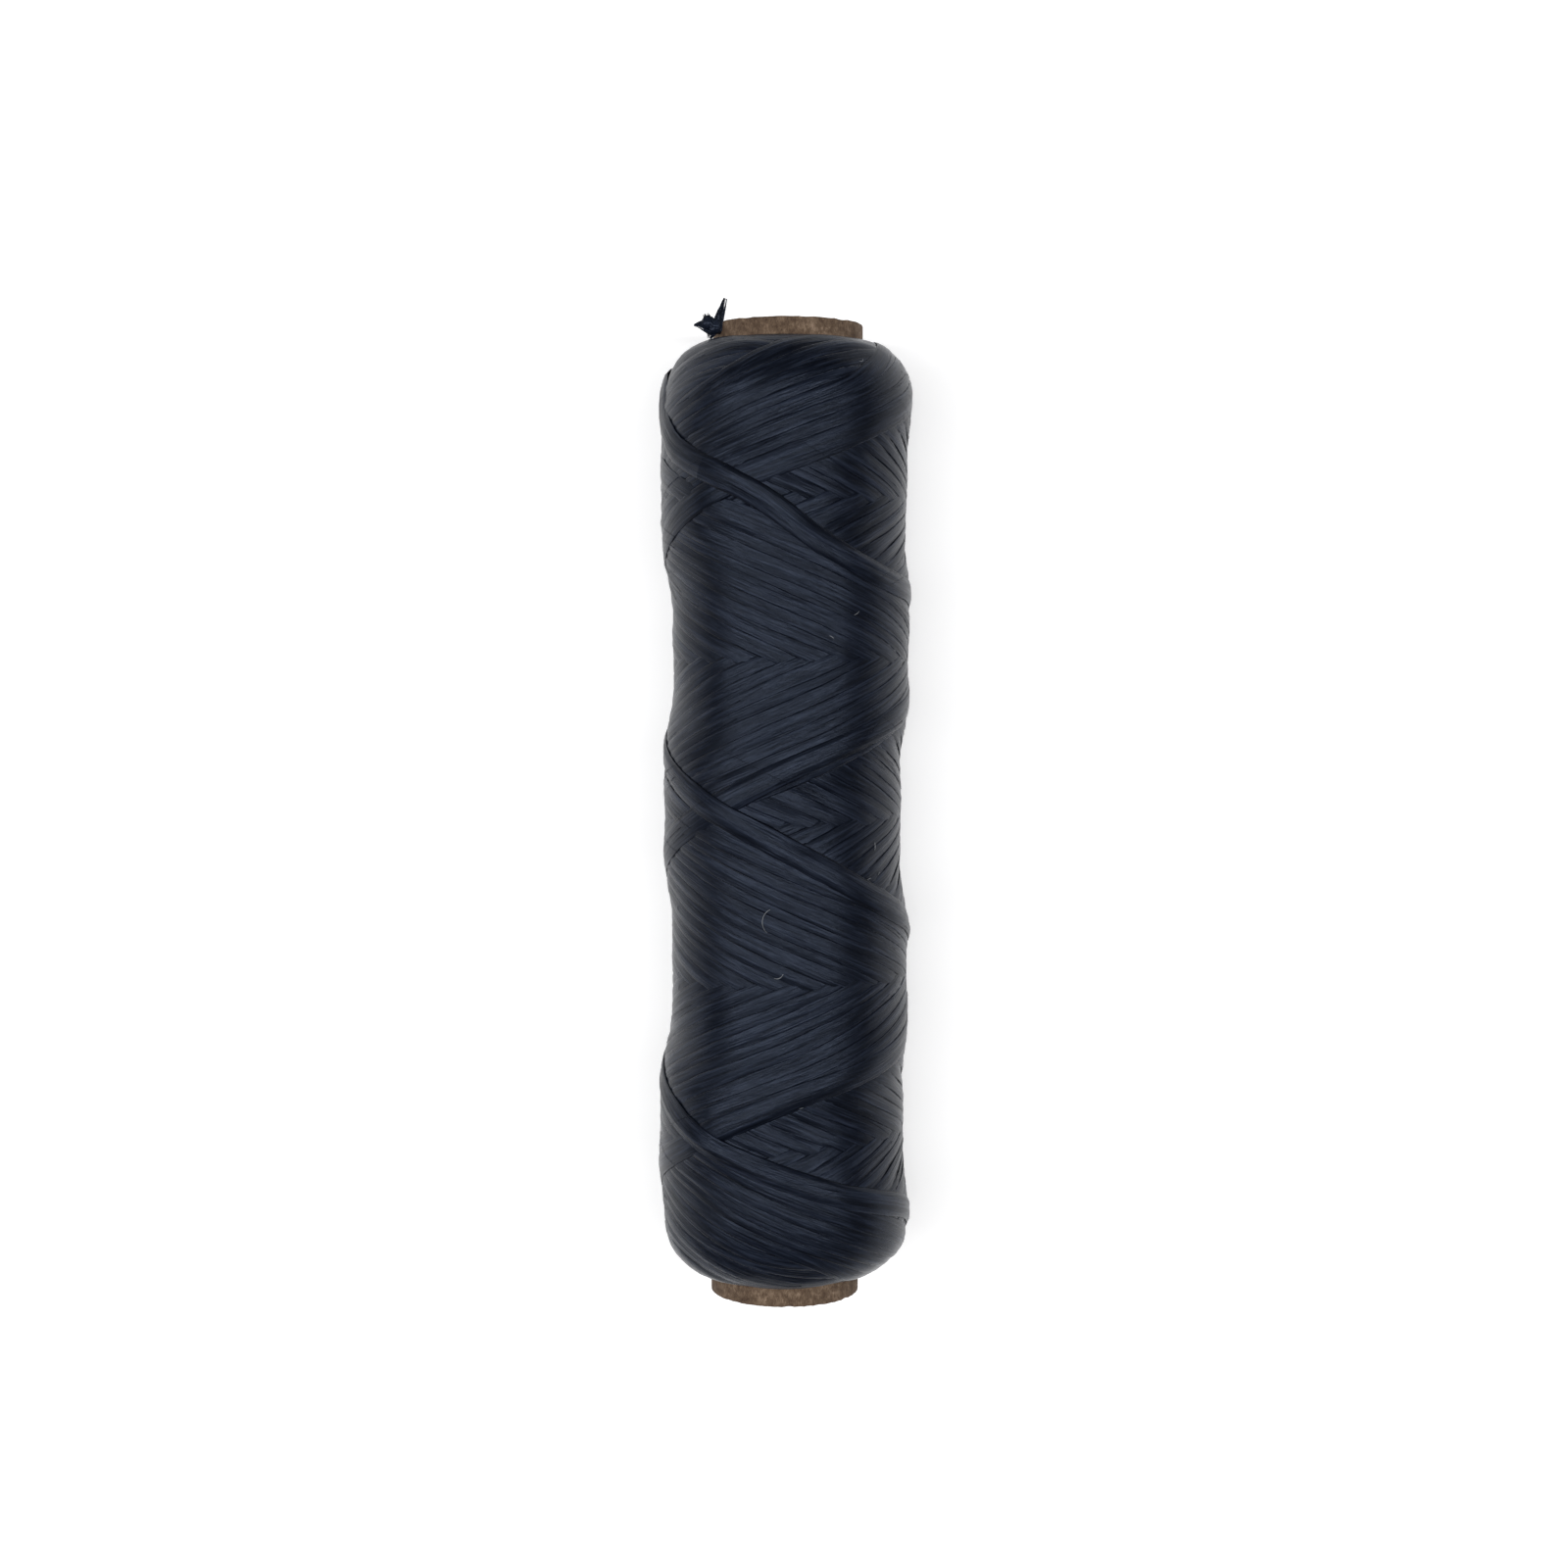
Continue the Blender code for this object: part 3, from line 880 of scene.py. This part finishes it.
class Nodes:
    """A short way to add and join shader nodes."""

    def __init__(self, name):
        self.material = bpy.data.materials.new(name)
        self.material.use_nodes = True
        self.tree = self.material.node_tree
        self.shader = self.tree.nodes["Principled BSDF"]

    def add(self, kind, **values):
        node = self.tree.nodes.new(kind)
        for name, value in values.items():
            setattr(node, name, value)
        return node

    def join(self, source, target):
        self.tree.links.new(source, target)

    def vector(self, source, scale):
        node = self.add("ShaderNodeVectorMath", operation="MULTIPLY")
        self.join(source, node.inputs[0])
        node.inputs[1].default_value = scale
        return node.outputs[0]

    def noise(self, source, scale, detail=3.0, roughness=0.55, distortion=0.0):
        node = self.add("ShaderNodeTexNoise")
        self.join(source, node.inputs["Vector"])
        node.inputs["Scale"].default_value = scale
        node.inputs["Detail"].default_value = detail
        node.inputs["Roughness"].default_value = roughness
        node.inputs["Distortion"].default_value = distortion
        return node.outputs["Fac"]

    def math(self, operation, first, second):
        node = self.add("ShaderNodeMath", operation=operation)
        for socket, value in zip(node.inputs, (first, second)):
            if isinstance(value, (int, float)):
                socket.default_value = value
            else:
                self.join(value, socket)
        return node.outputs[0]

    def ramp(self, source, stops):
        node = self.add("ShaderNodeValToRGB")
        self.join(source, node.inputs["Fac"])
        elements = node.color_ramp.elements
        for index, (position, colour) in enumerate(stops):
            element = elements[index] if index < 2 else elements.new(position)
            element.position = position
            element.color = (*colour, 1.0)
        return node.outputs["Color"]

    def spread(self, source, low, high):
        node = self.add("ShaderNodeMapRange")
        self.join(source, node.inputs["Value"])
        node.inputs["From Min"].default_value = 0.3
        node.inputs["From Max"].default_value = 0.7
        node.inputs["To Min"].default_value = low
        node.inputs["To Max"].default_value = high
        return node.outputs["Result"]

    def mix(self, share, first, second):
        node = self.add("ShaderNodeMix", data_type="RGBA")
        self.join(share, node.inputs["Factor"])
        colours = [socket for socket in node.inputs if socket.type == "RGBA"]
        for socket, value in zip(colours, (first, second)):
            if isinstance(value, tuple):
                socket.default_value = (*value, 1.0)
            else:
                self.join(value, socket)
        return [socket for socket in node.outputs if socket.type == "RGBA"][0]

    def bump(self, height, strength, distance, normal=None):
        node = self.add("ShaderNodeBump")
        node.inputs["Strength"].default_value = strength
        node.inputs["Distance"].default_value = distance
        self.join(height, node.inputs["Height"])
        if normal is not None:
            self.join(normal, node.inputs["Normal"])
        return node.outputs["Normal"]


THREAD_DARK = (0.0008, 0.0013, 0.0033)
THREAD_MIDDLE = (0.0036, 0.0052, 0.0105)
THREAD_LIGHT = (0.0170, 0.0220, 0.0360)


def thread_material(name):
    """Waxed flat thread: fine filaments along it, broader strands, a thin film of wax."""
    nodes = Nodes(name)
    weave = nodes.add("ShaderNodeAttribute", attribute_name="weave").outputs["Vector"]
    fine = nodes.noise(nodes.vector(weave, (0.34, 9.0, 3.7)), 1.0, 3.0, 0.6)
    middle = nodes.noise(nodes.vector(weave, (0.17, 3.9, 9.1)), 1.0, 2.0, 0.6)
    strand = nodes.noise(nodes.vector(weave, (0.05, 1.3, 5.1)), 1.0, 2.0, 0.5)
    place_at = nodes.add("ShaderNodeTexCoord").outputs["Object"]
    patch = nodes.noise(place_at, 170.0, 3.0, 0.55)
    fibre = nodes.math("ADD", nodes.math("MULTIPLY", fine, 0.44), nodes.math("MULTIPLY", middle, 0.34))
    fibre = nodes.math("ADD", fibre, nodes.math("MULTIPLY", strand, 0.22))
    colour = nodes.ramp(fibre, ((0.42, THREAD_DARK), (0.50, THREAD_MIDDLE), (0.60, THREAD_LIGHT)))
    waxed = nodes.mix(nodes.spread(patch, 0.0, 0.16), colour, (0.012, 0.015, 0.022))
    nodes.join(waxed, nodes.shader.inputs["Base Color"])
    rough = nodes.math("ADD", nodes.spread(fibre, 0.36, 0.24), nodes.spread(patch, -0.03, 0.03))
    nodes.join(rough, nodes.shader.inputs["Roughness"])
    coarse = nodes.bump(strand, 0.5, 0.00013)
    medium = nodes.bump(middle, 0.5, 0.00008, coarse)
    nodes.join(nodes.bump(fine, 0.6, 0.00005, medium), nodes.shader.inputs["Normal"])
    nodes.shader.inputs["Specular IOR Level"].default_value = 0.16
    nodes.shader.inputs["Specular Tint"].default_value = (0.62, 0.74, 1.0, 1.0)
    return nodes.material


PAPER_DARK = (0.056, 0.033, 0.021)
PAPER_MIDDLE = (0.122, 0.081, 0.053)
PAPER_LIGHT = (0.258, 0.185, 0.130)


def paper_material(name, tone):
    """Kraft paper: mottled pulp, short fibres and a few dark and light specks."""
    nodes = Nodes(name)
    place_at = nodes.add("ShaderNodeTexCoord").outputs["Object"]
    pulp = nodes.noise(place_at, 1400.0, 4.0, 0.6)
    fibres = nodes.noise(nodes.vector(place_at, (1.0, 0.35, 1.0)), 5200.0, 2.0, 0.6, 1.5)
    cloud = nodes.noise(place_at, 320.0, 2.0, 0.5)
    blend = nodes.math("ADD", nodes.math("MULTIPLY", pulp, 0.45), nodes.math("MULTIPLY", fibres, 0.35))
    blend = nodes.math("ADD", blend, nodes.math("MULTIPLY", cloud, 0.20))
    stops = [(place_on, tuple(channel * tone for channel in colour)) for place_on, colour in
             ((0.38, PAPER_DARK), (0.52, PAPER_MIDDLE), (0.66, PAPER_LIGHT))]
    nodes.join(nodes.ramp(blend, stops), nodes.shader.inputs["Base Color"])
    nodes.join(nodes.spread(fibres, 0.82, 0.95), nodes.shader.inputs["Roughness"])
    nodes.join(nodes.bump(blend, 0.6, 0.00010), nodes.shader.inputs["Normal"])
    nodes.shader.inputs["Specular IOR Level"].default_value = 0.25
    return nodes.material


def lint_material(name):
    """Pale dust fibres."""
    nodes = Nodes(name)
    place_at = nodes.add("ShaderNodeTexCoord").outputs["Object"]
    tone = nodes.noise(place_at, 900.0, 2.0, 0.5)
    nodes.join(nodes.ramp(tone, ((0.3, (0.10, 0.11, 0.12)), (0.7, (0.26, 0.27, 0.29)))),
               nodes.shader.inputs["Base Color"])
    nodes.shader.inputs["Roughness"].default_value = 0.8
    return nodes.material


# ---------------------------------------------------------------- stage

FLOOR_GLOW = 0.37


def floor_piece():
    nodes = Nodes("floor")
    place_at = nodes.add("ShaderNodeTexCoord").outputs["Object"]
    tone = nodes.noise(place_at, 3.0, 1.0, 0.4)
    nodes.join(nodes.ramp(tone, ((0.0, (0.86, 0.86, 0.87)), (1.0, (0.89, 0.89, 0.89)))),
               nodes.shader.inputs["Base Color"])
    nodes.shader.inputs["Roughness"].default_value = 0.9
    nodes.shader.inputs["Specular IOR Level"].default_value = 0.2
    nodes.shader.inputs["Emission Color"].default_value = (1.0, 1.0, 1.0, 1.0)
    nodes.shader.inputs["Emission Strength"].default_value = FLOOR_GLOW
    size = 1500.0
    corners = [(-size, -size, 0.0), (size, -size, 0.0), (size, size, 0.0), (-size, size, 0.0)]
    points = [(x * MM, y * MM, FLOOR_Z * MM) for x, y, z in corners]
    piece = new_mesh_piece("floor", points, [(0, 1, 2, 3)], nodes.material, smooth=False)
    return piece


def area_light(name, direction, distance, size, size_y, power, tint):
    """A soft box that looks at the spool from a direction."""
    light = bpy.data.lights.new(name, "AREA")
    light.shape = "RECTANGLE"
    light.size = size
    light.size_y = size_y
    light.energy = power
    light.color = tint
    item = bpy.data.objects.new(name, light)
    bpy.context.scene.collection.objects.link(item)
    where = Vector(direction).normalized() * distance
    item.location = where
    item.rotation_euler = (-where).to_track_quat("-Z", "Y").to_euler()


WORLD_STOPS = ((0.0, 0.13), (0.4, 0.13), (0.75, 0.18), (0.98, 0.08))


def make_world():
    """A white studio whose ceiling is dimmer than its walls."""
    world = bpy.data.worlds.new("studio")
    bpy.context.scene.world = world
    world.use_nodes = True
    tree = world.node_tree
    background = tree.nodes["Background"]
    direction = tree.nodes.new("ShaderNodeTexCoord")
    parts = tree.nodes.new("ShaderNodeSeparateXYZ")
    ramp = tree.nodes.new("ShaderNodeValToRGB")
    tree.links.new(direction.outputs["Generated"], parts.inputs[0])
    tree.links.new(parts.outputs["Z"], ramp.inputs["Fac"])
    tree.links.new(ramp.outputs["Color"], background.inputs["Color"])
    elements = ramp.color_ramp.elements
    for index, (position, value) in enumerate(WORLD_STOPS):
        element = elements[index] if index < 2 else elements.new(position)
        element.position = position
        element.color = (value, value, value, 1.0)
    background.inputs["Strength"].default_value = 1.0


CAMERA_HEIGHT = 252.3
CAMERA_Y = 16.82
CAMERA_X = -0.31
CAMERA_TILT = math.radians(-3.143)
CAMERA_ROLL = math.radians(0.204)
LENS = 55.06


def make_camera():
    camera = bpy.data.cameras.new("camera")
    camera.lens = LENS
    camera.sensor_width = 36.0
    camera.clip_start = 0.01
    item = bpy.data.objects.new("camera", camera)
    bpy.context.scene.collection.objects.link(item)
    item.location = ((AXIS_X + CAMERA_X) * MM, CAMERA_Y * MM, (AXIS_Z + CAMERA_HEIGHT) * MM)
    item.rotation_euler = (CAMERA_TILT, 0.0, CAMERA_ROLL)
    bpy.context.scene.camera = item


# ---------------------------------------------------------------- the object

def finish_piece(piece, slot, *nodes):
    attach(piece, "root")
    if nodes:
        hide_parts(*nodes)


def make_thread():
    material = thread_material("waxed_ribbon")
    ribbon = Ribbon(rng)
    ground = Ground()
    under = lay_all(ribbon, ground)
    mean = mean_height(ground)
    wanted = visible_stations(ribbon, ground)
    low_turn = int(np.searchsorted(-ribbon.psi, -LOW_TURN))
    top_turn = int(np.searchsorted(-ribbon.psi, -(LOW_TURN + PERIOD / 2)))
    loop = int(np.searchsorted(-ribbon.psi, -LOOP_FIRST))
    cuts = np.linspace(0, top_turn, 5).astype(int)
    for number, (first, last) in enumerate(zip(cuts, cuts[1:])):
        name = "wound_thread_" + "abcd"[number]
        piece = ribbon_piece(name, ribbon, under, mean, wanted, first, last + 2, material)
        finish_piece(piece, "waxed_thread", "thread_layer_6")
    body = body_piece("wound_body", mean, material)
    finish_piece(body, "waxed_thread", "thread_anchor_wraps", *[f"thread_layer_{k}" for k in range(1, 6)])
    stretches = (("last_down_ribbon", "thread_last_down_stroke", top_turn, low_turn + 2),
                 ("last_up_ribbon", "thread_last_up_stroke", low_turn, loop + 2),
                 ("slack_ribbon", "thread_slack_loop", loop, ribbon.count))
    wanted[loop - 4:] = True
    for name, node, first, last in stretches:
        piece = ribbon_piece(name, ribbon, under, mean, wanted, first, last, material)
        finish_piece(piece, "waxed_thread", node)
    finish_piece(tail_piece(material), "waxed_thread", "thread_tail")
    filaments = loose_filaments(ribbon, ground, mean, material)
    finish_piece(filaments, "waxed_thread")
    dust = dust_piece(ground, mean, lint_material("lint"))
    finish_piece(dust, "waxed_thread")


def make_core():
    for index, ply in enumerate(("inner", "middle", "outer")):
        material = paper_material(f"kraft_{ply}", (0.82, 0.9, 1.0)[index])
        piece = ply_piece(f"paper_{ply}_ply", index, material)
        finish_piece(piece, "kraft_paper", f"core_{ply}_ply")


def make_lights():
    make_world()
    area_light("left_box", (-0.55, 0.0, 0.835), 1.2, 0.24, 1.4, 9.6, (1.0, 1.0, 1.0))
    area_light("right_box", (0.40, 0.0, 0.916), 1.2, 0.06, 1.4, 8.6, (1.0, 1.0, 1.0))


make_camera()
floor_piece()
make_lights()
make_thread()
make_core()
bpy.context.scene.view_settings.view_transform = "Standard"
bpy.context.view_layer.update()
